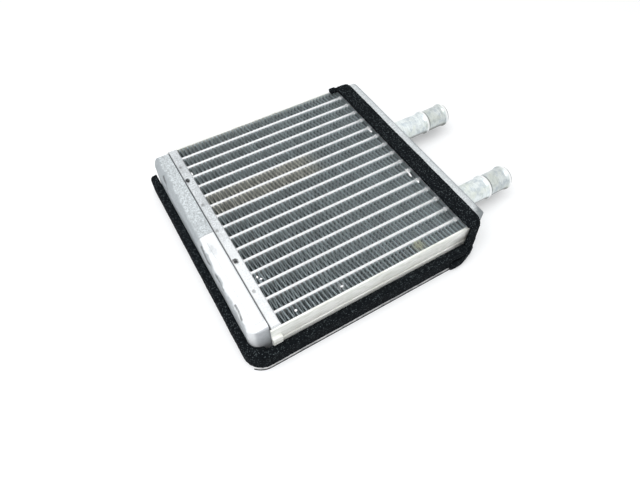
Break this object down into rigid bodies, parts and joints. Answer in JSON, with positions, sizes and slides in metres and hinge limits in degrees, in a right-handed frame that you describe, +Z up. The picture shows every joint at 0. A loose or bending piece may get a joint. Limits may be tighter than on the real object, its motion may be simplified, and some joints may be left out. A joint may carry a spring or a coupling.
{
  "type": "heater core",
  "caption": "Brazed aluminium cabin heater core: flat tubes and folded fins between two tanks, with straight hose stubs and black foam sealing tape.",
  "frame": {"origin": "middle of the footprint, on the surface that the core lies on", "axes": "+X along the tubes towards the hose stubs, +Y across the stack of tubes towards the side without tape, +Z up through the thickness"},
  "size_m": [0.222, 0.1678, 0.0349],
  "materials": {
    "tube": "bright extruded aluminium",
    "fin": "thin folded aluminium strip, dull grey",
    "header": "pressed aluminium, satin with a faint rough grain",
    "tank": "pressed aluminium, matt silver with a faint rough grain",
    "side_plate": "rolled aluminium with a warm brazing bloom",
    "stub": "machined aluminium, brushed round",
    "foam": "black open foam tape with light specks"
  },
  "bodies": {
    "root": {"tube_01": "tube", "tube_02": "tube", "tube_03": "tube", "tube_04": "tube", "tube_05": "tube", "tube_06": "tube", "tube_07": "tube", "tube_08": "tube", "tube_09": "tube", "tube_10": "tube", "tube_11": "tube", "tube_12": "tube", "tube_13": "tube", "tube_14": "tube", "tube_15": "tube", "fin_01": "fin", "fin_02": "fin", "fin_03": "fin", "fin_04": "fin", "fin_05": "fin", "fin_06": "fin", "fin_07": "fin", "fin_08": "fin", "fin_09": "fin", "fin_10": "fin", "fin_11": "fin", "fin_12": "fin", "fin_13": "fin", "fin_14": "fin", "fin_15": "fin", "fin_16": "fin", "header_left": "header", "header_right": "header", "tank_left": "tank", "tank_right": "tank", "tank_partition": "header", "side_plate_near": "side_plate", "side_plate_far": "side_plate", "stub_long": "stub", "stub_short": "stub", "foam_left": "foam", "foam_near": "foam", "foam_top": "foam"}
  },
  "joints": []
}
